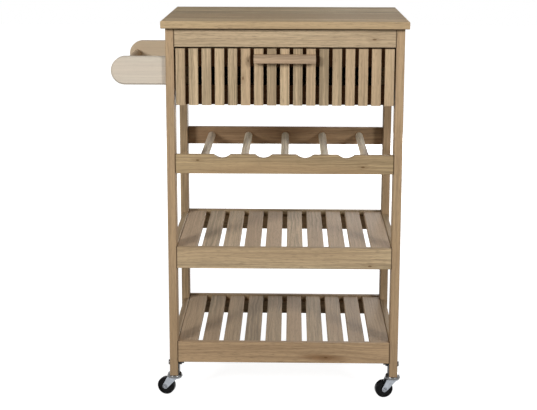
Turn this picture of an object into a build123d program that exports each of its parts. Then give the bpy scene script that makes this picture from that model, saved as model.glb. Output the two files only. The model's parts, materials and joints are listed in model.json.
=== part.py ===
# Rolling kitchen cart in oak-finished wood: a worktop on four flat legs, a drawer with a slatted
# front, a rack for lying bottles, two slatted shelves, a towel holder and four swivel casters.
# Millimetres. X runs to the right, Y from front to back, Z up. The pieces are laid out from the
# middle of the legs, their front faces and the floor. The origin is then moved to the middle of
# the whole outline at floor level.
from build123d import *
import os
from math import atan2, degrees

os.makedirs("parts", exist_ok=True)

# Frame
cart_height = 850.0
frame_width = 511.0          # over the outer faces of the legs
frame_depth = 370.0          # over the front and back faces of the legs
leg_width = 18.0
leg_depth = 45.0
rail_thickness = 13.0
edge_ease = 1.0              # small bevel along the long edges of every board

# Worktop
top_thickness = 16.0
top_side_overhang = 8.5
top_end_overhang = 16.0
top_edge_radius = 2.0

# Rails and panels under the worktop
top_rail_height = 40.0
panel_height = 170.0

# Bottle rack
wine_rail_top = 560.0
wine_rail_height = 42.0
wine_dowel_count = 5
wine_dowel_pitch = 90.0
wine_dowel_radius = 9.0
wine_dowel_inset = 6.0       # how far each dowel end is let into its rail
scallop_width = 42.0
scallop_depth = 7.8
scallop_lip_radius = 8.0

# Shelves
middle_shelf_top = 352.0
bottom_shelf_top = 133.0
shelf_rail_height = 48.0
shelf_slat_count = 10
shelf_slat_gap = 11.5
outer_slat_width = 43.0
shelf_slat_thickness = 12.0
shelf_slat_drop = 2.0        # the slats lie this far below the top of the rails
slat_fit = 0.5               # room round the row of slats
batten_thickness = 12.0
batten_height = 28.0

# Drawer
drawer_reveal = 3.5          # gap round the drawer front
front_slat_count = 17
front_slat_gap = 8.0
front_slat_thickness = 12.0
front_slat_height = 122.0
drawer_upper_rail_height = 40.0
drawer_lower_rail_height = 42.5
drawer_side_thickness = 15.0
drawer_side_height = 110.0
drawer_side_rise = 6.5       # bottom edge of the sides above the bottom of the front
drawer_side_setback = 18.0   # outer face of each side, in from the end of the front
drawer_length = 295.0
drawer_bottom_thickness = 4.0
drawer_bottom_rise = 8.0     # underside of the bottom above the lower edge of the sides
drawer_groove_depth = 5.5
groove_fit = 0.15
cutter_overrun = 1.0
drawer_travel = 220.0
runner_height = 12.0
runner_rise = 60.5           # underside of the runner above the bottom of the front
runner_tongue = 5.5          # how far the runner reaches into the side's groove
runner_side_gap = 1.0
runner_top_gap = 0.3
runner_bottom_gap = 1.0
stop_peg_width = 8.0
stop_peg_height = 15.0
stop_peg_depth = 15.0

# Handle
handle_slats = 5             # it spans this many slats of the front
handle_height = 18.0
handle_depth = 21.0
handle_drop = 11.5           # its top edge below the top of the front
handle_ease = 1.5
grip_radius = 8.0
grip_depth = 5.0
grip_end = 12.0              # solid wood left at each end of the finger groove

# Towel holder
arm_length = 119.5
arm_height = 61.0
arm_thickness = 18.0
arm_setback = 10.0           # face of each arm in from the nearer face of the frame
arm_drop = 93.0              # middle of the arms below the underside of the worktop
arm_edge_chamfer = 3.5
towel_bar_radius = 9.0
towel_bar_reach = 101.0      # axis of the bar out from the face of the legs
towel_bar_inset = 8.0

# Joints between the boards
tenon_length = 12.0
tenon_thickness = 6.0
tenon_shoulder = 8.0         # from the edge of a rail to its tenon
arm_tenon_length = 10.0
arm_tenon_thickness = 8.0
arm_tenon_shoulder = 13.0
glue_clearance = 0.1

# Casters
wheel_radius = 20.0
wheel_width = 16.0
axle_radius = 3.0
caster_trail = 20.0
running_gap = 0.3
running_clearance = 0.08
steel_thickness = 2.0
crown_gap = 1.0              # between the tyre and the crown of the fork
crown_radius = 15.5
cheek_end_radius = 6.0
cheek_front = 10.0
cheek_back = 15.0
cup_height = 6.7
cup_radius = 17.5
rivet_radius = 4.0
rivet_head_radius = 6.5
rivet_head_height = 1.5
flange_width = 30.0
flange_height = 32.0         # lug beside the leg, up from the leg's lower end
flange_corner = 8.0
trail_heading = {"front_left": 165.0, "front_right": 191.0, "back_left": 246.0, "back_right": 135.0}

# Faces and levels that the pieces share
half_frame = frame_width / 2
inner_face = half_frame - leg_width
front_inner = rail_thickness
back_inner = frame_depth - rail_thickness
front_leg_back = leg_depth
back_leg_front = frame_depth - leg_depth
worktop_bottom = cart_height - top_thickness
top_rail_bottom = worktop_bottom - top_rail_height
panel_bottom = worktop_bottom - panel_height
arm_middle = worktop_bottom - arm_drop
leg_bottom = 2 * wheel_radius + crown_gap + steel_thickness + running_gap + cup_height + steel_thickness
front_top = top_rail_bottom - drawer_reveal
front_bottom = front_top - front_slat_height
half_front = inner_face - drawer_reveal


def board(x, y, z, ease=edge_ease):
    """A planed board between pairs of limits, with its long edges eased."""
    size = [high - low for low, high in (x, y, z)]
    middle = [(low + high) / 2 for low, high in (x, y, z)]
    blank = Pos(*middle) * Box(*size)
    long_axis = (Axis.X, Axis.Y, Axis.Z)[size.index(max(size))]
    return chamfer(blank.edges().filter_by(long_axis), ease)


def rod_x(x, y, z, radius):
    """A round rod or hole along X between two limits."""
    low, high = sorted(x)
    return Pos((low + high) / 2, y, z) * Rot(0, 90, 0) * Cylinder(radius, high - low)


def rod_y(x, y, z, radius):
    low, high = sorted(y)
    return Pos(x, (low + high) / 2, z) * Rot(90, 0, 0) * Cylinder(radius, high - low)


def rod_z(x, y, z, radius):
    low, high = sorted(z)
    return Pos(x, y, (low + high) / 2) * Cylinder(radius, high - low)


# Middles of the boards that meet the legs
front_rail_y = rail_thickness / 2
back_rail_y = frame_depth - rail_thickness / 2
side_rail_x = inner_face + rail_thickness / 2
front_arm_y = arm_setback + arm_thickness / 2
back_arm_y = frame_depth - arm_setback - arm_thickness / 2
wine_rail_middle = wine_rail_top - wine_rail_height / 2

# Lower and upper edge of each board that is tenoned into the legs
shelf_tops = {"middle": middle_shelf_top, "bottom": bottom_shelf_top}
shelf_edges = [(top - shelf_rail_height, top) for top in shelf_tops.values()]
wine_edges = (wine_rail_top - wine_rail_height, wine_rail_top)
top_rail_edges = (top_rail_bottom, worktop_bottom)
panel_edges = (panel_bottom, worktop_bottom)
front_edges = [top_rail_edges, wine_edges, *shelf_edges]
back_edges = [panel_edges, wine_edges, *shelf_edges]
side_edges = [panel_edges, *shelf_edges]


def tenon_x(face, outward, y, z, room=0.0):
    """A tenon on a board's end that faces along X. With room it is the mortise for it."""
    length = tenon_length + room
    height = z[1] - z[0] - 2 * tenon_shoulder + 2 * room
    middle = (face + outward * length / 2, y, (z[0] + z[1]) / 2)
    return Pos(*middle) * Box(length, tenon_thickness + 2 * room, height)


def tenon_y(face, outward, x, z, room=0.0):
    length = tenon_length + room
    height = z[1] - z[0] - 2 * tenon_shoulder + 2 * room
    middle = (x, face + outward * length / 2, (z[0] + z[1]) / 2)
    return Pos(*middle) * Box(tenon_thickness + 2 * room, length, height)


def arm_tenon(y, room=0.0):
    """The tenon of a towel arm in the left leg's outer face, or with room its mortise."""
    length = arm_tenon_length + room
    height = arm_height - 2 * arm_tenon_shoulder + 2 * room
    return Pos(length / 2 - half_frame, y, arm_middle) * Box(length, arm_tenon_thickness + 2 * room, height)


def leg(side, back):
    """A flat leg with a blind mortise for each board that meets it."""
    y_low = back_leg_front if back else 0.0
    x = sorted((side * inner_face, side * half_frame))
    blank = board(x, (y_low, y_low + leg_depth), (leg_bottom, worktop_bottom))
    for z in back_edges if back else front_edges:
        rail_y = back_rail_y if back else front_rail_y
        blank -= tenon_x(side * inner_face, side, rail_y, z, glue_clearance)
    for z in side_edges:
        face = back_leg_front if back else front_leg_back
        blank -= tenon_y(face, 1 if back else -1, side * side_rail_x, z, glue_clearance)
    if side < 0:
        blank -= arm_tenon(back_arm_y if back else front_arm_y, glue_clearance)
    return blank


def cross_rail(z, back):
    """A rail from leg to leg, flush with the outer faces of the frame, with a tenon at each end."""
    y = back_rail_y if back else front_rail_y
    rail = board((-inner_face, inner_face), (y - rail_thickness / 2, y + rail_thickness / 2), z)
    for side in (-1, 1):
        rail += tenon_x(side * inner_face, side, y, z)
    return rail


def side_board(side, z):
    """A side rail or panel between the front and the back leg of one side."""
    x = sorted((side * inner_face, side * (inner_face + rail_thickness)))
    blank = board(x, (front_leg_back, back_leg_front), z)
    for face, outward in ((front_leg_back, -1), (back_leg_front, 1)):
        blank += tenon_y(face, outward, side * side_rail_x, z)
    return blank


def worktop():
    x = half_frame + top_side_overhang
    y = (-top_end_overhang, frame_depth + top_end_overhang)
    slab = Pos(0, sum(y) / 2, worktop_bottom + top_thickness / 2) * Box(2 * x, y[1] - y[0], top_thickness)
    slab = fillet(slab.edges().group_by(Axis.Z)[-1], top_edge_radius)
    return chamfer(slab.edges().group_by(Axis.Z)[0], edge_ease)


def scallop(x):
    """Outline of one bottle scallop: a round hollow that flows into the edge through two lips."""
    half = scallop_width / 2
    radii = (half**2 + scallop_depth**2) / (2 * scallop_depth)
    hollow_radius = radii - scallop_lip_radius
    rise = hollow_radius - scallop_depth
    turn = degrees(atan2(rise + scallop_lip_radius, half))
    top = wine_rail_top
    left = CenterArc((x - half, top - scallop_lip_radius), scallop_lip_radius, 90, turn - 90)
    hollow = CenterArc((x, top + rise), hollow_radius, 180 + turn, 180 - 2 * turn)
    right = CenterArc((x + half, top - scallop_lip_radius), scallop_lip_radius, 180 - turn, turn - 90)
    lid = Line((x + half, top), (x - half, top))
    return make_face(Wire([left.edge(), hollow.edge(), right.edge(), lid.edge()]))


def wine_dowel_places():
    first = -(wine_dowel_count - 1) / 2
    return [(first + i) * wine_dowel_pitch for i in range(wine_dowel_count)]


def wine_rail(back):
    rail = cross_rail(wine_edges, back)
    if not back:
        for left, right in zip(wine_dowel_places(), wine_dowel_places()[1:]):
            cutter = extrude(scallop((left + right) / 2), rail_thickness, dir=(0, 0, -1))
            rail -= Rot(90, 0, 0) * cutter
    face = back_inner if back else front_inner
    floor = face + wine_dowel_inset if back else face - wine_dowel_inset
    for x in wine_dowel_places():
        rail -= rod_y(x, (face, floor), wine_rail_middle, wine_dowel_radius + glue_clearance)
    return rail


def wine_dowel(x):
    y = (front_inner - wine_dowel_inset + glue_clearance, back_inner + wine_dowel_inset - glue_clearance)
    return rod_y(x, y, wine_rail_middle, wine_dowel_radius)


def row(count, gap, width, outer=None):
    """Left and right limits of boards in a row of a given width, the outer two perhaps wider."""
    if outer is None:
        outer = (width - (count - 1) * gap) / count
    inner = (width - 2 * outer - (count - 1) * gap) / (count - 2)
    widths = [outer, *[inner] * (count - 2), outer]
    places = []
    x = -width / 2
    for board_width in widths:
        places.append((x, x + board_width))
        x += board_width + gap
    return places


def shelf_slats(top):
    z = (top - shelf_slat_drop - shelf_slat_thickness, top - shelf_slat_drop)
    y = (front_inner + slat_fit, back_inner - slat_fit)
    width = 2 * (inner_face - slat_fit)
    return [board(x, y, z) for x in row(shelf_slat_count, shelf_slat_gap, width, outer_slat_width)]


def shelf_batten(top, back):
    """A batten under the ends of the slats, against the inner face of the front or back rail."""
    z_top = top - shelf_slat_drop - shelf_slat_thickness
    x = (-inner_face + slat_fit, inner_face - slat_fit)
    y = (back_inner - batten_thickness, back_inner) if back else (front_inner, front_inner + batten_thickness)
    return board(x, y, (z_top - batten_height, z_top))


# Drawer
side_outer = half_front - drawer_side_setback
side_inner = side_outer - drawer_side_thickness
front_back = front_slat_thickness + rail_thickness
side_bottom = front_bottom + drawer_side_rise
drawer_side_top = side_bottom + drawer_side_height
drawer_end = front_back + drawer_length
bottom_level = side_bottom + drawer_bottom_rise
runner_level = front_bottom + runner_rise


def drawer_slats():
    z = (front_bottom, front_top)
    places = row(front_slat_count, front_slat_gap, 2 * half_front)
    return [board(x, (0, front_slat_thickness), z) for x in places]


def drawer_rail(z):
    return board((-half_front, half_front), (front_slat_thickness, front_back), z)


def bottom_groove(x, y):
    z = (bottom_level - groove_fit, bottom_level + drawer_bottom_thickness + groove_fit)
    return board(x, y, z, ease=groove_fit)


def drawer_lower_rail():
    rail = drawer_rail((front_bottom, front_bottom + drawer_lower_rail_height))
    half = side_inner + drawer_groove_depth
    return rail - bottom_groove((-half, half), (front_back - drawer_groove_depth, front_back + groove_fit))


def drawer_side(side):
    """A drawer side with the runner's groove outside, the bottom's groove inside and a stop peg hole."""
    x = sorted((side * side_inner, side * side_outer))
    blank = board(x, (front_back, drawer_end), (side_bottom, drawer_side_top))
    groove_z = (runner_level - runner_bottom_gap, runner_level + runner_height + runner_top_gap)
    groove_floor = side_outer - runner_tongue - runner_side_gap
    groove_x = sorted((side * groove_floor, side * (side_outer + runner_side_gap)))
    along = (front_back - cutter_overrun, drawer_end + cutter_overrun)
    blank -= board(groove_x, along, groove_z, ease=groove_fit)
    inner_x = sorted((side * (side_inner - cutter_overrun), side * (side_inner + drawer_groove_depth)))
    blank -= bottom_groove(inner_x, along)
    return blank - stop_peg(side, glue_clearance)


def stop_peg(side, room=0.0):
    """A square peg that meets the rail over the drawer. With room it is the mortise for it."""
    width = stop_peg_width + 2 * room
    x = (side_inner + side_outer) / 2
    y = rail_thickness + drawer_travel + stop_peg_width / 2 + running_gap
    low, high = drawer_side_top - stop_peg_depth - room, drawer_side_top + stop_peg_height
    return Pos(side * x, y, (low + high) / 2) * Box(width, width, high - low)


def drawer_bottom():
    half = side_inner + drawer_groove_depth - slat_fit
    y = (front_back - drawer_groove_depth + slat_fit, drawer_end)
    return board((-half, half), y, (bottom_level, bottom_level + drawer_bottom_thickness), ease=groove_fit)


def drawer_back():
    z = (bottom_level + drawer_bottom_thickness + groove_fit, drawer_side_top)
    return board((-side_inner, side_inner), (drawer_end - rail_thickness, drawer_end), z)


def runner(side):
    """A hardwood strip on the inner face of the frame, on which the drawer hangs by its grooves."""
    x = sorted((side * (side_outer - runner_tongue), side * inner_face))
    y = (front_back + running_gap, back_leg_front)
    return board(x, y, (runner_level, runner_level + runner_height))


def handle():
    """A square bar across the middle slats with a finger groove in its underside."""
    places = row(front_slat_count, front_slat_gap, 2 * half_front)
    middle = front_slat_count // 2
    reach = handle_slats // 2
    half = places[middle + reach][1]
    z_top = front_top - handle_drop
    z_low = z_top - handle_height
    bar = board((-half, half), (-handle_depth, 0), (z_low, z_top), ease=handle_ease)
    axis_z = z_low - grip_radius + grip_depth
    axis_y = -handle_depth / 2
    end_x = half - grip_end
    return bar - rod_x((-end_x, end_x), axis_y, axis_z, grip_radius)


def towel_arm(back):
    """An arm with a half-round end, tenoned into the leg, its outer face chamfered at the rim."""
    arm_y = back_arm_y if back else front_arm_y
    round_x = -half_frame - arm_length + arm_height / 2
    straight = -half_frame - round_x
    outline = Pos(round_x + straight / 2, arm_middle) * Rectangle(straight, arm_height)
    outline += Pos(round_x, arm_middle) * Circle(arm_height / 2)
    arm = Pos(0, arm_y, 0) * Rot(90, 0, 0) * extrude(outline, arm_thickness / 2, both=True)
    outward = 1 if back else -1
    outer_face = arm.faces().sort_by(Axis.Y)[-1 if back else 0]
    arm = chamfer([e for e in outer_face.edges() if e.center().X < -half_frame - 1], arm_edge_chamfer)
    inner = arm_y - outward * arm_thickness / 2
    bar_x = -half_frame - towel_bar_reach
    socket = (inner, inner + outward * towel_bar_inset)
    arm -= rod_y(bar_x, socket, arm_middle, towel_bar_radius + glue_clearance)
    return arm + arm_tenon(arm_y)


def towel_bar():
    front = front_arm_y + arm_thickness / 2 - towel_bar_inset + glue_clearance
    back = back_arm_y - arm_thickness / 2 + towel_bar_inset - glue_clearance
    return rod_y(-half_frame - towel_bar_reach, (front, back), arm_middle, towel_bar_radius)


# Casters, each about its own swivel axis with the wheel trailing towards -X
crown_low = 2 * wheel_radius + crown_gap
crown_top = crown_low + steel_thickness
cup_low = crown_top + running_gap
cup_top = cup_low + cup_height
cheek_inner = wheel_width / 2 + running_gap
cheek_outer = cheek_inner + steel_thickness


def caster_place(side, back):
    return side * (inner_face + half_frame) / 2, (back_leg_front if back else 0) + leg_depth / 2


def caster_mount(side):
    """A pressed bearing cup with a lug up the leg's inner face, and the swivel's rivet."""
    cup = rod_z(0, 0, (cup_low, leg_bottom), cup_radius)
    lug_top = leg_bottom + flange_height
    lug = Box(steel_thickness, flange_width, lug_top - cup_top)
    lug = chamfer(lug.edges().filter_by(Axis.X).group_by(Axis.Z)[-1], flange_corner)
    lug_x = -side * (leg_width + steel_thickness) / 2
    cup += Pos(lug_x, 0, (cup_top + lug_top) / 2) * lug
    rivet_top = crown_low - running_gap
    rivet_low = rivet_top - rivet_head_height
    cup += rod_z(0, 0, (rivet_top, cup_low), rivet_radius)
    return cup + rod_z(0, 0, (rivet_low, rivet_top), rivet_head_radius)


def fork():
    """A pressed fork: a round crown, two cheeks that taper down to the axle, and the axle."""
    crown = rod_z(0, 0, (crown_low, crown_top), crown_radius)
    bridge = Box(cheek_back, 2 * cheek_outer, steel_thickness)
    crown += Pos(-cheek_back / 2, 0, crown_low + steel_thickness / 2) * bridge
    eye = Pos(-caster_trail, wheel_radius) * Circle(cheek_end_radius)
    head = Line((-cheek_back, crown_top), (cheek_front, crown_top))
    cheek = make_hull([*eye.edges(), head.edge()])
    plate = Rot(90, 0, 0) * extrude(cheek, steel_thickness / 2, both=True)
    for side in (-1, 1):
        crown += Pos(0, side * (cheek_inner + steel_thickness / 2), 0) * plate
    crown += rod_y(-caster_trail, (-cheek_inner, cheek_inner), wheel_radius, axle_radius)
    return crown - rod_z(0, 0, (crown_low, crown_top), rivet_radius + running_clearance)


def wheel():
    """A solid wheel as wide as the fork allows, bored for its axle."""
    width = (-wheel_width / 2, wheel_width / 2)
    disc = rod_y(0, width, 0, wheel_radius) - rod_y(0, width, 0, axle_radius + running_clearance)
    return Pos(-caster_trail, 0, wheel_radius) * disc


# The origin: the middle of the outline of the whole cart, the towel holder and the handle included
left_reach = half_frame + arm_length
right_reach = half_frame + top_side_overhang
front_reach = max(handle_depth, top_end_overhang)
back_reach = frame_depth + top_end_overhang
to_origin = Pos((left_reach - right_reach) / 2, (front_reach - back_reach) / 2, 0)


def save(name, shapes):
    """Write one node, a single solid or a group of alike solids."""
    solids = shapes if isinstance(shapes, list) else [shapes]
    moved = [to_origin * shape for shape in solids]
    export_step(moved[0] if len(moved) == 1 else Compound(moved), f"parts/{name}.step")


SIDES = {"left": -1, "right": 1}

save("worktop", worktop())
save("top_front_rail", cross_rail(top_rail_edges, False))
save("upper_back_panel", cross_rail(panel_edges, True))
save("wine_front_rail", wine_rail(False))
save("wine_back_rail", wine_rail(True))
for number, x in enumerate(wine_dowel_places(), 1):
    save(f"wine_dowel_{number}", wine_dowel(x))
save("towel_arms", [towel_arm(False), towel_arm(True)])
save("towel_bar", towel_bar())
for (shelf, top), edges in zip(shelf_tops.items(), shelf_edges):
    save(f"{shelf}_shelf_front_rail", cross_rail(edges, False))
    save(f"{shelf}_shelf_back_rail", cross_rail(edges, True))
    save(f"{shelf}_shelf_front_batten", shelf_batten(top, False))
    save(f"{shelf}_shelf_back_batten", shelf_batten(top, True))
    save(f"{shelf}_shelf_slats", shelf_slats(top))
    for name, side in SIDES.items():
        save(f"{shelf}_shelf_{name}_rail", side_board(side, edges))

save("drawer_front_slats", drawer_slats())
save("drawer_upper_rail", drawer_rail((front_top - drawer_upper_rail_height, front_top)))
save("drawer_lower_rail", drawer_lower_rail())
save("drawer_bottom", drawer_bottom())
save("drawer_back", drawer_back())
save("drawer_handle", handle())
save("drawer_stop_pegs", [stop_peg(side) for side in SIDES.values()])
for name, side in SIDES.items():
    save(f"drawer_{name}_side", drawer_side(side))
    save(f"drawer_{name}_runner", runner(side))
    save(f"upper_{name}_panel", side_board(side, panel_edges))

caster_mounts = []
for row_name, back in (("front", False), ("back", True)):
    for name, side in SIDES.items():
        corner = f"{row_name}_{name}"
        x, y = caster_place(side, back)
        swivelled = Pos(x, y, 0) * Rot(0, 0, trail_heading[corner] - 180)
        save(f"leg_{corner}", leg(side, back))
        save(f"caster_fork_{corner}", swivelled * fork())
        save(f"caster_wheel_{corner}", swivelled * wheel())
        caster_mounts.append(Pos(x, y, 0) * caster_mount(side))
save("caster_mounts", caster_mounts)
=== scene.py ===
import json
import math
import random

import bmesh
import bpy
from mathutils import Matrix, Vector


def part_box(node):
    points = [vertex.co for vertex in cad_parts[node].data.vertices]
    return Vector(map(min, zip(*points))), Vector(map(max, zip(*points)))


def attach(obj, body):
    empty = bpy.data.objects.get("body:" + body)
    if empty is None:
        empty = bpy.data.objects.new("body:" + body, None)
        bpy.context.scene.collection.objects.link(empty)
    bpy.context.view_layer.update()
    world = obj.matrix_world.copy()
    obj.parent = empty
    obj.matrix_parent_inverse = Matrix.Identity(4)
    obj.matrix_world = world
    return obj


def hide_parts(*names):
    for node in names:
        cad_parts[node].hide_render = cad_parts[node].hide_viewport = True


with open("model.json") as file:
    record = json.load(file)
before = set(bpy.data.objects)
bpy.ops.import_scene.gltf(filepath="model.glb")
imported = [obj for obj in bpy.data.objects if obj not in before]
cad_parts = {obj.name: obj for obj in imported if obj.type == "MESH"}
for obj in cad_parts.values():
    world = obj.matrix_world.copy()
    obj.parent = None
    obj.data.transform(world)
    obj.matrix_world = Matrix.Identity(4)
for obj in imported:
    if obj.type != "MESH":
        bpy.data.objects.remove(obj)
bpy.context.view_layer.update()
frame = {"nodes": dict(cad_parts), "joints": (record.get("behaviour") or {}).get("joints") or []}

# The place the cart is seen from: a long lens a little above the worktop, turned down towards
# the shelves. The numbers are a fit to the legs, the rails and the corners of the worktop.
photo_width = 537
lens_in_pixels = 1271.2
camera_place = Vector((0.0714, -2.8878, 1.0869))
camera_turn = 0.0186
camera_dip = 0.2063
camera_roll = 0.002
camera = bpy.data.objects.new("camera", bpy.data.cameras.new("camera"))
camera.data.sensor_width = 36
camera.data.lens = lens_in_pixels / photo_width * 36
camera.data.shift_y = -0.06
turned = Matrix.Rotation(camera_turn, 4, "Z") @ Matrix.Rotation(math.pi / 2 - camera_dip, 4, "X")
camera.matrix_world = Matrix.Translation(camera_place) @ turned @ Matrix.Rotation(camera_roll, 4, "Z")
bpy.context.collection.objects.link(camera)
bpy.context.scene.camera = camera
bpy.context.scene.view_settings.view_transform = "Standard"


# The studio: a white paper floor under a white room, a soft lamp in front on each side, a low one
# behind and a weak one above. The white behind the cart is the paper's own, seen by the lens.
class Value:
    """A number, colour or vector that a node gives. Arithmetic with it adds Math nodes."""

    def __init__(self, finish, socket):
        self.finish, self.socket = finish, socket

    def __add__(self, other):
        return self.finish.math("ADD", self, other)

    def __sub__(self, other):
        return self.finish.math("SUBTRACT", self, other)

    def __rsub__(self, other):
        return self.finish.math("SUBTRACT", other, self)

    def __mul__(self, other):
        return self.finish.math("MULTIPLY", self, other)

    def __truediv__(self, other):
        return self.finish.math("DIVIDE", self, other)

    def __rtruediv__(self, other):
        return self.finish.math("DIVIDE", other, self)

    def __pow__(self, other):
        return self.finish.math("POWER", self, other)

    def __or__(self, other):
        """The larger of the two."""
        return self.finish.math("MAXIMUM", self, other)

    def __and__(self, other):
        """The smaller of the two."""
        return self.finish.math("MINIMUM", self, other)

    def __floor__(self):
        return self.finish.math("FLOOR", self)

    __radd__ = __add__
    __rmul__ = __mul__
    __ror__ = __or__
    __rand__ = __and__


class Finish:
    """A material, or the world, that is put together node by node."""

    def __init__(self, name, world=False):
        self.holder = bpy.data.worlds.new(name) if world else bpy.data.materials.new(name)
        self.holder.use_nodes = True
        self.tree = self.holder.node_tree
        self.tree.nodes.clear()

    def node(self, kind, settings=None, inputs=None, output=0):
        """Adds a node: its settings first, then the values or links of its sockets."""
        made = self.tree.nodes.new("ShaderNode" + kind)
        for name, setting in (settings or {}).items():
            setattr(made, name, setting)
        for name, value in (inputs or {}).items():
            if isinstance(value, Value):
                self.tree.links.new(value.socket, made.inputs[name])
            else:
                made.inputs[name].default_value = value
        return Value(self, made.outputs[output])

    def math(self, operation, *values):
        """Adds a Math node."""
        return self.node("Math", {"operation": operation}, dict(enumerate(values)))

    def parts(self, kind, value):
        """The three numbers of a colour or vector."""
        first = self.node(kind, None, {0: value})
        return [Value(self, socket) for socket in first.socket.node.outputs[:3]]

    def mix(self, share, first, second):
        """A colour between two, by a share of the second."""
        return self.node("Mix", {"data_type": "RGBA"}, {0: share, 6: first, 7: second}, 2)

    def ramp(self, value, start, end, low=0.0, high=1.0):
        """A smooth step from low at start to high at end."""
        numbers = {0: value, 1: start, 2: end, 3: low, 4: high}
        return self.node("MapRange", {"interpolation_type": "SMOOTHSTEP"}, numbers)

    def noise(self, where, scale, detail=2.0, roughness=0.5):
        """Cloudy noise round 0.5."""
        sockets = {"Vector": where, "Scale": scale, "Detail": detail, "Roughness": roughness}
        return self.node("TexNoise", None, sockets, "Fac")

    def seen(self):
        """1 for what the lens, a gloss or a glass shows, and 0 for what lights the cart."""
        rays = ("Is Camera Ray", "Is Glossy Ray", "Is Transmission Ray")
        lens, gloss, glass = [self.node("LightPath", output=ray) for ray in rays]
        return lens | gloss | glass

    def close(self, kind, **sockets):
        """Ends the nodes in one shader on the output."""
        shader = self.node(kind, None, {name.replace("_", " "): value for name, value in sockets.items()})
        return self.show(shader)

    def show(self, shader):
        """Puts a shader on the output."""
        world = isinstance(self.holder, bpy.types.World)
        out = self.tree.nodes.new("ShaderNodeOutputWorld" if world else "ShaderNodeOutputMaterial")
        self.tree.links.new(shader.socket, out.inputs["Surface"])
        return self.holder


def lamp(name, place, size, power):
    """A square soft lamp turned towards the middle of the cart."""
    cart_middle = Vector((0, 0, 0.45))
    light = bpy.data.lights.new(name, "AREA")
    light.size, light.energy = size, power
    holder = bpy.data.objects.new(name, light)
    holder.location = place
    aim = cart_middle - Vector(place)
    holder.rotation_euler = aim.to_track_quat("-Z", "Y").to_euler()
    bpy.context.collection.objects.link(holder)


lamp("lamp_left", (-2.2, -2.9, 1.85), 0.8, 74)
lamp("lamp_right", (2.4, -2.8, 1.85), 0.8, 61)
lamp("lamp_back", (0.6, 3.3, 0.6), 0.9, 46)
lamp("lamp_above", (0.2, 0.3, 3.2), 2.2, 5)

air = Finish("studio_air", world=True)
dim = air.node("Background", None, {"Color": (1, 1, 1, 1), "Strength": 0.17})
white = air.node("Background", None, {"Color": (1, 1, 1, 1), "Strength": 1.0})
bpy.context.scene.world = air.show(air.node("MixShader", None, {0: air.seen(), 1: dim, 2: white}))

floor_mesh = bpy.data.meshes.new("floor")
reach = 9.0
corners = [(-reach, -reach, 0), (reach, -reach, 0), (reach, reach, 0), (-reach, reach, 0)]
floor_mesh.from_pydata(corners, [], [(0, 1, 2, 3)])
floor = bpy.data.objects.new("floor", floor_mesh)
bpy.context.collection.objects.link(floor)
paper = Finish("floor_paper")
spot = paper.node("TexCoord", output="Object")
away = paper.node("VectorMath", {"operation": "LENGTH"}, {0: spot}, "Value")
glow = paper.seen() * paper.ramp(away, 0.4, 2.0, 0.87, 1.0)
floor_mesh.materials.append(paper.close(
    "BsdfPrincipled", Base_Color=(0.4, 0.4, 0.4, 1), Roughness=0.9,
    Emission_Color=paper.mix(glow, (0, 0, 0, 1), (1, 1, 1, 1)), Emission_Strength=1.0,
))


# Worktop: a board glued up from six long strips of oak, sanded and oiled, its upper edges
# rounded over. It overhangs the legs all round and is screwed up through the rails.
def paint(red, green, blue):
    """The linear colour of three screen values from 0 to 255."""
    channels = [value / 255 for value in (red, green, blue)]
    return (*[c / 12.92 if c <= 0.04045 else ((c + 0.055) / 1.055) ** 2.4 for c in channels], 1)


def shade(colour, amount):
    """A colour made lighter or darker."""
    return (*[min(channel * amount, 1) for channel in colour[:3]], 1)


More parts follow.
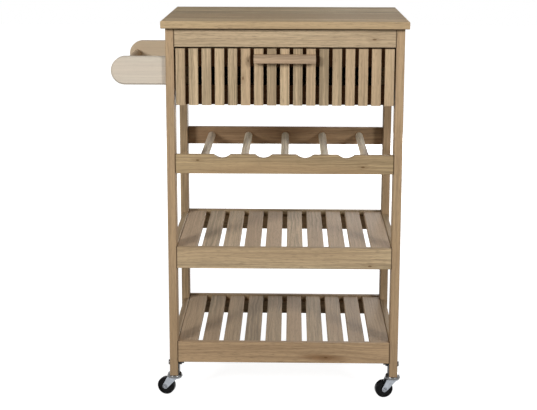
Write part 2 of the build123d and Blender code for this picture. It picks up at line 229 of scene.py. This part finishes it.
def oak(
    name, run, tone, luck, board=None, spread=0.2, hue=0.3, contrast=1.0, figure=1.0, knots=(),
    stain_and_shade=None, joint=None,
):
    """Oiled oak with its grain along one axis, from fine pores up to growth rings.

    luck picks the board, and board gives the number of the board at a place, where many boards
    share the finish. spread and hue say how far boards differ in depth and in warmth, contrast
    and figure how strong the grain and the growth rings are. knots are places with a size, stain
    is a share that takes another colour, which is a brown patch in one rail and painted shade on
    the legs and the rear arm, and joint gives the distance from a joint, near which the wood darkens:
    a dark joint line between boards, and painted shade along the worktop's lower edge and under it.
    gathers dust and lies in shade.
    """
    ring_width = 0.0055
    wood = Finish(name)
    place = wood.node("TexCoord", output="Object")
    x, y, z = wood.parts("SeparateXYZ", place)
    if board:
        ticket = board(x, y, z) * 1.37 + luck
        chance = wood.node("TexWhiteNoise", {"noise_dimensions": "1D"}, {"W": ticket}, "Color")
        first, second, third = wood.parts("SeparateColor", chance)
    else:
        dice = random.Random(luck)
        first, second, third = dice.random(), dice.random(), dice.random()
    along, across, through = {"x": (x, z, y), "y": (y, x, z), "z": (z, x, y)}[run]

    def grain(lengthwise, crosswise, detail=2.0, roughness=0.5, bow=0.0):
        """Noise that is drawn out along the grain and differs from board to board."""
        spots = (
            along * lengthwise + first * 31, (across + bow) * crosswise + second * 17,
            through * crosswise + third * 23,
        )
        where = wood.node("CombineXYZ", None, dict(enumerate(spots)))
        return wood.noise(where, 1.0, detail, roughness)

    sway = grain(2.0, 7.0, 1.0) - 0.5
    wave = (grain(9.0, 18.0, 2.0) - 0.5) * 0.012
    drift = grain(1.7, 12)
    streaks = grain(3.4, 210, 3.0, 0.66, wave)
    fibres = grain(12, 520, 2.0, 0.6, wave)
    pores = wood.ramp(grain(60, 1200, 1.0), 0.55, 0.72)
    flat = across + (first - 0.5) * 0.1 + sway * 0.06
    deep = through + 0.03 + second * 0.05
    rings = (flat ** 2 + deep ** 2) ** 0.5 / ring_width + (streaks - 0.5) * 1.6
    eyes = None
    for centre, size in knots:
        offset = wood.node("VectorMath", {"operation": "SUBTRACT"}, {0: place, 1: centre})
        pull = {"x": (0.45, 1, 1), "z": (1, 1, 0.45)}[run]
        offset = wood.node("VectorMath", {"operation": "MULTIPLY"}, {0: offset, 1: pull})
        distance = wood.node("VectorMath", {"operation": "LENGTH"}, {0: offset}, "Value")
        away = distance + (streaks - 0.5) * size * 0.8
        eye = wood.ramp(away, size, size * 0.25) | wood.ramp(away, size * 3.2, size * 0.6) * 0.25
        rings = rings + wood.ramp(away, size * 4.0, 0.0) * 1.3
        eyes = eye if eyes is None else eyes | eye
    figured = wood.math("SINE", rings * (2 * math.pi)) * wood.ramp(grain(2.4, 15), 0.42, 0.62, 0.25, 1.0)
    weight = figured * (0.11 * figure) + (streaks - 0.5) * 2.3 + (fibres - 0.5) * 1.1 + (drift - 0.5) * 1.0
    weight = (weight * contrast + (third - 0.5) * spread + 0.5) & 1.0 | 0.0
    colour = wood.mix(weight, shade(tone, 0.64), shade(tone, 1.34))
    warm = wood.ramp(grain(1.5, 10) + (second - 0.5) * (hue * 0.4), 0.42, 0.62) * 0.5
    colour = wood.mix(warm, colour, (tone[0] * 1.05, tone[1] * 0.96, tone[2] * 0.93, 1))
    # A share of another colour: a brown patch in one rail, and painted shade on the legs and the rear arm.
    if stain_and_shade:
        colour = wood.mix(stain_and_shade[0](x, y, z), colour, stain_and_shade[1])
    colour = wood.mix(pores * (0.4 * contrast), colour, shade(tone, 0.42))
    if eyes:
        colour = wood.mix(eyes * 0.85, colour, (tone[0] * 0.32, tone[1] * 0.24, tone[2] * 0.18, 1))
    # Darker near a joint: a dark joint line between boards, and painted shade along the worktop's lower
    # edge and under it.
    if joint:
        colour = wood.mix(wood.ramp(joint(x, y, z), 0.0042, 0.0012) * 0.93, colour, paint(48, 30, 14))
    height = fibres * 0.6 + streaks * 0.3 - pores * 0.7
    relief = wood.node("Bump", None, {"Strength": 0.35, "Distance": 0.0004, "Height": height})
    dryness = fibres * 0.16 + 0.54
    return wood.close(
        "BsdfPrincipled", Base_Color=colour, Roughness=dryness, Specular_IOR_Level=0.06, Normal=relief,
    )


def dress(material, *names):
    """Gives one finish to whole CAD nodes."""
    for name in names:
        slots = frame["nodes"][name].data.materials
        slots.clear()
        slots.append(material)


strip_count = 6
top_low, top_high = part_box("worktop")
strip_width = (top_high[1] - top_low[1]) / strip_count


def top_strip(x, y, z):
    return math.floor((y - top_low[1]) / strip_width)


# Painted shade: the worktop darkens along its lower edge, where it overhangs the rails.
def underside_shade_line(x, y, z):
    return z - (top_low[2] - 0.0024)


# The worktop's lower edge takes painted shade.
worktop_oak = oak(
    "worktop_oak", "x", paint(178, 156, 122), 19.0, top_strip, spread=1.05, hue=1.0, contrast=1.4,
    joint=underside_shade_line,
)
dress(worktop_oak, "worktop")

# Legs: four flat posts planed from straight-grained oak, with a mortise for every rail that
# meets them. The grain runs up the post, and each was cut from another board.
leg_tone = paint(178, 154, 122)
leg_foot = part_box("leg_front_left")[0][2]


def under_worktop(x, y, z):
    return top_low[2] - z


# Painted shade at the top of each leg, under the worktop, and a dark band at its foot.
def leg_top_shade_and_foot(x, y, z):
    return under_worktop(x, y, z) & (z - (leg_foot - 0.0015))


# Painted shade: the legs darken towards the floor, by a share that grows downwards.
def painted_shade_towards_foot(x, y, z):
    return (top_low[2] - z) * 0.45


# Each leg takes painted shade: it darkens downwards and under the worktop.
for number, corner in enumerate(("front_left", "front_right", "back_left", "back_right")):
    leg_oak = oak(
        f"leg_oak_{corner}", "z", leg_tone, 11.0 + number, contrast=1.2, figure=0.5,
        stain_and_shade=(painted_shade_towards_foot, paint(122, 98, 70)), joint=leg_top_shade_and_foot,
    )
    dress(leg_oak, f"leg_{corner}")

# Rail and panels under the worktop: solid oak boards between the legs, with the grain along
# them and a tenon at each end. The front rail is the palest board and has a small knot.
left_leg_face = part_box("leg_front_left")[1][0]
right_leg_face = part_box("leg_front_right")[0][0]
rail_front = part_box("top_front_rail")[0][1]
fascia_knot = ((0.246, rail_front, 0.811), 0.0032)


def between_legs(x, y, z):
    return ((x - left_leg_face) & (right_leg_face - x)) + 0.0012


# Dark joint lines where the boards meet the legs, and painted shade along their tops, under the worktop.
def seams_and_top_shade(x, y, z):
    return between_legs(x, y, z) & under_worktop(x, y, z)


fascia = oak(
    "top_rail_oak", "x", paint(185, 166, 136), 21.0, contrast=1.6, figure=0.6, knots=[fascia_knot],
    joint=seams_and_top_shade,
)
dress(fascia, "top_front_rail")
panel_tone = paint(178, 156, 124)
dress(oak("back_panel_oak", "x", panel_tone, 22.0, joint=seams_and_top_shade), "upper_back_panel")
for number, side in enumerate(("left", "right")):
    dress(oak(f"side_panel_oak_{side}", "y", panel_tone, 23.0 + number), f"upper_{side}_panel")

# Bottle rack: a front rail with scallops for the necks, a plain back rail and five round oak
# rods let into both. Two small knots show in the front rail.
rack_knots = [((-0.133, rail_front, 0.548), 0.003), ((0.226, rail_front, 0.534), 0.0028)]
rack_front = oak(
    "rack_front_oak", "x", paint(169, 146, 112), 31.0, figure=0.7, knots=rack_knots,
    joint=between_legs,
)
dress(rack_front, "wine_front_rail")
# The back rail's deeper tone is partly the board's own and partly painted shade.
rack_back = oak("rack_back_oak", "x", paint(154, 128, 99), 32.0, figure=0.5, joint=between_legs)
dress(rack_back, "wine_back_rail")
rods = [f"wine_dowel_{number}" for number in range(1, 6)]
rod_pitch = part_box(rods[1])[0][0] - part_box(rods[0])[0][0]


def rod_number(x, y, z):
    return math.floor(x / rod_pitch)


# The rods' pale tone is partly the wood's own and partly painted light, which lifts them out of the shade
# under the drawer.
dress(oak("rod_oak", "y", paint(230, 215, 192), 33.0, rod_number, figure=0.3), *rods)

# Shelves: a frame of four oak rails tenoned into the legs, two battens inside it, and ten slats
# on the battens from front to back. The slats were cut from boards of different colour.
slat_count = 10
slat_gap = 0.0115
outer_slat = 0.043
slats_low, slats_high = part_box("middle_shelf_slats")
slat_pitch = (slats_high[0] - slats_low[0] - 2 * outer_slat - slat_gap) / (slat_count - 2)
first_gap = slats_low[0] + outer_slat + slat_gap / 2


def shelf_board(x, y, z):
    """The slat's number, where the wider outer slats are -1 and 8."""
    return math.floor((x - first_gap) / slat_pitch) & (slat_count - 2) | -1


def left_or_right(x, y, z):
    return math.floor(x * 3 + 0.3)


def front_or_back(x, y, z):
    return math.floor(y * 3 + 0.3)


def brown_patch(x, y, z):
    """An oval of browner wood in the bottom front rail, which leans a little."""
    along_rail = x - 0.145
    up_rail = z - 0.098
    across_patch = along_rail * 17 + up_rail * 30
    up_patch = up_rail * 90
    return (1.0 - across_patch ** 2.0 - up_patch ** 2.0 | 0.0) * 0.75


apron_knots = {
    "middle": ((0.245, rail_front, 0.311), 0.003),
    "bottom": ((0.150, rail_front, 0.098), 0.0028),
}
apron_tones = {"middle": paint(179, 158, 126), "bottom": paint(167, 143, 112)}
slat_tones = {"middle": paint(190, 169, 142), "bottom": paint(173, 152, 124)}
for number, (shelf, tone) in enumerate(apron_tones.items()):
    luck = 41.0 + 10 * number
    patch = (brown_patch, paint(124, 90, 60)) if shelf == "bottom" else None
    front = oak(
        f"{shelf}_front_oak", "x", tone, luck, contrast=1.5, figure=0.8, knots=[apron_knots[shelf]],
        stain_and_shade=patch, joint=between_legs,
    )
    dress(front, f"{shelf}_shelf_front_rail")
    back = oak(f"{shelf}_back_oak", "x", shade(tone, 0.85), luck + 1, joint=between_legs)
    dress(back, f"{shelf}_shelf_back_rail")
    sides = oak(f"{shelf}_side_oak", "y", shade(tone, 0.9), luck + 2, left_or_right)
    dress(sides, f"{shelf}_shelf_left_rail", f"{shelf}_shelf_right_rail")
    battens = oak(f"{shelf}_batten_oak", "x", shade(tone, 0.75), luck + 3, front_or_back)
    dress(battens, f"{shelf}_shelf_front_batten", f"{shelf}_shelf_back_batten")
    slat_tone = slat_tones[shelf]
    slats = oak(f"{shelf}_slat_oak", "y", slat_tone, luck + 4, shelf_board, spread=0.4, hue=1.0)
    dress(slats, f"{shelf}_shelf_slats")

# Drawer: seventeen upright oak slats glued to an upper and a lower rail, and behind them a plain
# box whose grooved sides hang on two hardwood runners. Each slat has its own colour.
front_count = 17
front_gap = 0.008
front_low, front_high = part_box("drawer_front_slats")
front_pitch = (front_high[0] - front_low[0] + front_gap) / front_count


def front_board(x, y, z):
    return math.floor((x - front_low[0] + front_gap / 2) / front_pitch)


slat_face = front_low[1]
slat_knots = [((-0.034, slat_face, 0.727), 0.0031), ((-0.023, slat_face, 0.765), 0.0024)]
slat_oak = oak(
    "front_slat_oak", "z", paint(183, 161, 130), 69.0, front_board, spread=0.32, hue=0.45,
    contrast=1.2, figure=0.6, knots=slat_knots,
)
dress(slat_oak, "drawer_front_slats")
# The rails are the same oak as the rest; their dark brown is painted shade, for they lie behind the slats.
dress(oak("drawer_rail_oak_shaded", "x", paint(76, 52, 32), 62.0), "drawer_upper_rail", "drawer_lower_rail")
box_tone = paint(170, 145, 112)
box_wood = oak("drawer_box_oak", "y", box_tone, 63.0, left_or_right)
dress(box_wood, "drawer_left_side", "drawer_right_side")
dress(oak("drawer_back_oak", "x", box_tone, 64.0), "drawer_back")
dress(oak("drawer_bottom_ply", "x", paint(190, 167, 132), 65.0), "drawer_bottom")
runner_wood = oak("runner_oak", "y", paint(164, 135, 100), 66.0, left_or_right)
dress(runner_wood, "drawer_left_runner", "drawer_right_runner", "drawer_stop_pegs")

# Handle: a square bar of pinker wood across the five middle slats, screwed on from behind, with
# a finger groove along its underside.
dress(oak("handle_wood", "x", paint(186, 161, 133), 71.0, figure=0.4), "drawer_handle")


# Towel holder: two pale arms with half-round ends, tenoned into the left legs, and a round bar
# let into both. Their wood is close-grained and paler than the rest.
def ease_edges(names, width, angle):
    """Rounds the sharp edges of CAD nodes over, as sandpaper or a press does."""
    for name in names:
        weld = frame["nodes"][name].modifiers.new("welded", "WELD")
        weld.merge_threshold = 0.00001
        edge = frame["nodes"][name].modifiers.new("eased", "BEVEL")
        edge.width, edge.segments = width, 3
        edge.limit_method, edge.angle_limit = "ANGLE", math.radians(angle)
        edge.harden_normals = True


def rear_arm_shade(x, y, z):
    """The share of painted shade, a warmer and deeper colour that only the rear arm takes."""
    return (front_or_back(x, y, z) + 1) * 0.6


arm_wood = oak(
    "arm_wood", "x", paint(210, 201, 185), 81.0, front_or_back, spread=0.1, contrast=0.3,
    stain_and_shade=(rear_arm_shade, paint(222, 194, 156)),
)
dress(arm_wood, "towel_arms")
dress(oak("bar_wood", "y", paint(198, 176, 147), 83.0, figure=0.3), "towel_bar")
ease_edges(["towel_arms"], 0.0014, 25)


# Caster cups: a dish pressed from plated steel holds the swivel under each leg, and a lug welded
# to it runs up the inner face of the leg. A rivet through the dish carries the fork.
def turn(form, outline, place, axis, steps=48):
    """Adds a turned solid to a mesh: points of (radius, height) in mm, spun round an axis."""
    stand = Vector(axis).to_track_quat("Z", "Y").to_matrix()
    circles = []
    for step in range(steps):
        angle = 2 * math.pi * step / steps
        line = []
        for radius, height in outline:
            point = Vector((radius * math.cos(angle), radius * math.sin(angle), height)) / 1000
            line.append(form.verts.new(Vector(place) + stand @ point))
        circles.append(line)
    for here, there in zip(circles, circles[1:] + circles[:1]):
        for i in range(len(outline) - 1):
            form.faces.new((here[i], there[i], there[i + 1], here[i + 1]))


def bend(radius, height, size, start, end, steps=5):
    """An arc of an outline, round a middle at (radius, height), between two angles in degrees."""
    angles = [math.radians(start + (end - start) * i / steps) for i in range(steps + 1)]
    return [(radius + size * math.cos(a), height + size * math.sin(a)) for a in angles]


def set_piece(name, form, body, material, ease=0.0):
    """Makes an object of a mesh and lets it ride on a body."""
    bmesh.ops.remove_doubles(form, verts=form.verts, dist=1e-7)
    bmesh.ops.dissolve_degenerate(form, edges=form.edges, dist=1e-7)
    bmesh.ops.recalc_face_normals(form, faces=form.faces)
    mesh = bpy.data.meshes.new(name)
    form.to_mesh(mesh)
    form.free()
    mesh.materials.append(material)
    mesh.shade_smooth()
    mesh.set_sharp_from_angle(angle=math.radians(38))
    item = bpy.data.objects.new(name, mesh)
    bpy.context.collection.objects.link(item)
    if ease:
        edge = item.modifiers.new("eased", "BEVEL")
        edge.width, edge.segments = ease, 2
        edge.limit_method, edge.angle_limit = "ANGLE", math.radians(38)
        edge.harden_normals = True
    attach(item, body)
    return item


def plated(name, colour, rough, metal=1.0):
    """Plated steel, a little cloudy, with fine handling marks."""
    steel = Finish(name)
    place = steel.node("TexCoord", output="Object")
    cloud = steel.noise(place, 130.0, 4.0)
    marks = steel.noise(place, 900.0)
    tint = steel.mix(cloud, shade(colour, 0.7), shade(colour, 1.25))
    relief = steel.node("Bump", None, {"Strength": 0.12, "Distance": 0.0002, "Height": marks})
    dull = cloud * 0.24 + marks * 0.06 + (rough - 0.15)
    return steel.close("BsdfPrincipled", Base_Color=tint, Metallic=metal, Roughness=dull, Normal=relief)


corner_names = ("front_left", "front_right", "back_left", "back_right")
joints = {joint["name"]: joint for joint in frame["joints"]}
crown_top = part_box("caster_fork_front_left")[1][2] * 1000
rivet_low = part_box("caster_mounts")[0][2] * 1000
lug_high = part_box("caster_mounts")[1][2] * 1000
half_leg = 9.0
lug_half = 15.0
lug_thick = 2.0
lug_corner = 8.0
running_gap = 0.3
under_leg = 0.05
cup_low = crown_top + running_gap
cup_high = leg_foot * 1000 - under_leg
cup_radius = 17.5
cup_outline = [
    (0, cup_low), *bend(cup_radius - 1.6, cup_low + 1.6, 1.6, -90, 10), (cup_radius - 0.9, cup_low + 4.4),
    *bend(cup_radius - 3.8, cup_high - 1.75, 1.8, 20, 90), (0, cup_high),
]
rivet_radius = 4.0
rivet_top = cup_low + 0.2
rivet_outline = [
    (0, rivet_low), *bend(5.4, rivet_low + 1.1, 1.1, -90, 60), (rivet_radius, rivet_low + 1.6),
    (rivet_radius, rivet_top), (0, rivet_top),
]
cup_steel = plated("cup_steel", (0.16, 0.16, 0.16, 1), 0.2)
lug_steel = plated("lug_steel", (0.05, 0.05, 0.05, 1), 0.38)
cups = bmesh.new()
lugs = bmesh.new()
for corner in corner_names:
    foot = Vector((*joints[f"{corner}_swivel_turn"]["pos_m"][:2], 0))
    inward = 1 if "left" in corner else -1
    turn(cups, cup_outline, foot, (0, 0, 1), 64)
    turn(cups, rivet_outline, foot, (0, 0, 1), 32)
    corner_x, corner_z = lug_half - lug_corner, lug_high - lug_corner
    rounded = bend(corner_x, corner_z, lug_corner, 0, 90) + bend(-corner_x, corner_z, lug_corner, 90, 180)
    rim = [(-lug_half, cup_high - 1.5), (lug_half, cup_high - 1.5), *rounded]
    sheets = []
    for depth in (half_leg, half_leg + lug_thick):
        sheet = [Vector((inward * depth, u, v)) / 1000 + foot for u, v in rim]
        sheets.append(lugs.faces.new([lugs.verts.new(point) for point in sheet]))
    for near, far in zip(sheets[0].loops, sheets[1].loops):
        lugs.faces.new((near.vert, near.link_loop_next.vert, far.link_loop_next.vert, far.vert))
mounts = set_piece("caster_cups", cups, "frame", cup_steel)
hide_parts("caster_mounts")
set_piece("caster_lugs", lugs, "frame", lug_steel, 0.0004)

# Caster bolts: one through each leg and its lug, with a flat round head outside and a nut inside.
# The end of the thread stands out past the nut.
bolt_level = 77.0
bolt_steel = plated("bolt_steel", (0.1, 0.1, 0.1, 1), 0.3)
head_outline = [(0, 4.7), *bend(4.5, 3.2, 1.4, 90, 0, 4), (6.1, 0)]
nut_outline = [(3.0, 2.0), (5.1, 2.0), (5.7, 2.4), (5.7, 7.1), (5.1, 7.5), (3.0, 7.5)]
thread_outline = [(0, 12.4), (2.3, 12.4)]
for ridge in range(6):
    thread_outline += [(3.0, 11.8 - ridge * 0.8), (2.6, 11.4 - ridge * 0.8)]
heads = bmesh.new()
nuts = bmesh.new()
for corner in corner_names:
    inward = 1 if "left" in corner else -1
    middle = Vector((*joints[f"{corner}_swivel_turn"]["pos_m"][:2], bolt_level / 1000))
    face = Vector((inward * half_leg / 1000, 0, 0))
    turn(heads, head_outline, middle - face, (-inward, 0, 0), 32)
    turn(nuts, nut_outline, middle + face, (inward, 0, 0), 6)
    turn(nuts, thread_outline, middle + face, (inward, 0, 0), 24)
set_piece("caster_bolt_heads", heads, "frame", bolt_steel)
set_piece("caster_nuts", nuts, "frame", bolt_steel, 0.0003)

# Caster forks: pressed from one blank of zinc-plated steel, with a round crown under the cup and
# two cheeks down to the axle. The axle is a tube rivet whose ends are rolled over the cheeks.
zinc = plated("zinc_plate", (0.36, 0.385, 0.42, 1), 0.45, 0.8)
axle_steel = plated("axle_steel", (0.2, 0.21, 0.23, 1), 0.35)
rolled_end = [(0, 0.25), (1.3, 0.3), *bend(2.6, 0.3, 1.0, 150, 0, 6), (3.9, 0.25), (5.2, 0.35), (5.6, 0)]
cheek_out = 10.3
for corner in corner_names:
    axle = joints[f"{corner}_wheel_roll"]
    ends = bmesh.new()
    for way in (1, -1):
        outward = Vector(axle["axis"]) * way
        turn(ends, rolled_end, Vector(axle["pos_m"]) + outward * cheek_out / 1000, outward, 32)
    set_piece(f"axle_ends_{corner}", ends, f"{corner}_swivel", axle_steel)
    dress(zinc, f"caster_fork_{corner}")
ease_edges([f"caster_fork_{corner}" for corner in corner_names], 0.0004, 50)

# Caster wheels: moulded in hard black plastic in one shot, with a slightly crowned tread, a
# raised ring at the rim, a dished web and a hub that keeps them clear of the cheeks.
resin = Finish("black_resin")
spot = resin.node("TexCoord", output="Object")
haze = resin.noise(spot, 150.0, 5.0, 0.6)
pits = resin.noise(spot, 1300.0)
black = resin.mix(haze, (0.003, 0.003, 0.0033, 1), (0.009, 0.009, 0.0095, 1))
relief = resin.node("Bump", None, {"Strength": 0.2, "Distance": 0.0002, "Height": pits + haze * 0.5})
black_resin = resin.close(
    "BsdfPrincipled", Base_Color=black, Roughness=haze * 0.2 + 0.18, Specular_IOR_Level=0.08, Normal=relief,
)
tread_radius = 20.0
half_wheel = [
    (3.1, 7.9), (6.0, 7.9), *bend(6.0, 7.1, 0.8, 90, 0, 3), (7.4, 5.4), *bend(8.2, 5.2, 0.8, 180, 270, 3),
    (14.6, 4.3), *bend(15.0, 5.1, 0.8, 270, 340, 3), *bend(17.0, 6.3, 0.9, 150, 60, 4),
    *bend(tread_radius - 1.9, 5.2, 1.8, 75, 5), (tread_radius, 1.0),
]
wheel_outline = half_wheel + [(radius, -height) for radius, height in reversed(half_wheel)] + half_wheel[:1]
for corner in corner_names:
    axle = joints[f"{corner}_wheel_roll"]
    form = bmesh.new()
    turn(form, wheel_outline, axle["pos_m"], axle["axis"], 64)
    wheel = set_piece(f"wheel_{corner}", form, f"{corner}_wheel", black_resin)
    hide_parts(f"caster_wheel_{corner}")

# Screws: a countersunk head under a batten at each end of every slat, driven up into the slat
# from below, and two round heads inside the drawer, which hold the handle through the upper rail.
screw_outline = [(0, 0.1), (1.0, 0.1), (1.25, 0.9), (3.2, 0.9), (3.5, 0.5), (3.5, 0)]
for shelf in ("middle", "bottom"):
    screws = bmesh.new()
    for end in ("front", "back"):
        low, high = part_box(f"{shelf}_shelf_{end}_batten")
        for number in range(slat_count):
            middle = (first_gap + (number - 0.5) * slat_pitch, (low[1] + high[1]) / 2, low[2])
            turn(screws, screw_outline, middle, (0, 0, -1), 16)
    set_piece(f"{shelf}_shelf_screws", screws, "frame", bolt_steel)
pan_outline = [(0, 1.0), (1.1, 1.0), (1.4, 2.2), *bend(2.6, 0.9, 1.3, 80, 0, 4), (4.0, 0)]
handle_low, handle_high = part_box("drawer_handle")
rail_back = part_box("drawer_upper_rail")[1][1]
handle_level = (handle_low[2] + handle_high[2]) / 2
screws = bmesh.new()
for share in (0.18, 0.82):
    x = handle_low[0] + (handle_high[0] - handle_low[0]) * share
    turn(screws, pan_outline, (x, rail_back, handle_level), (0, 1, 0), 24)
set_piece("handle_screws", screws, "drawer", bolt_steel)
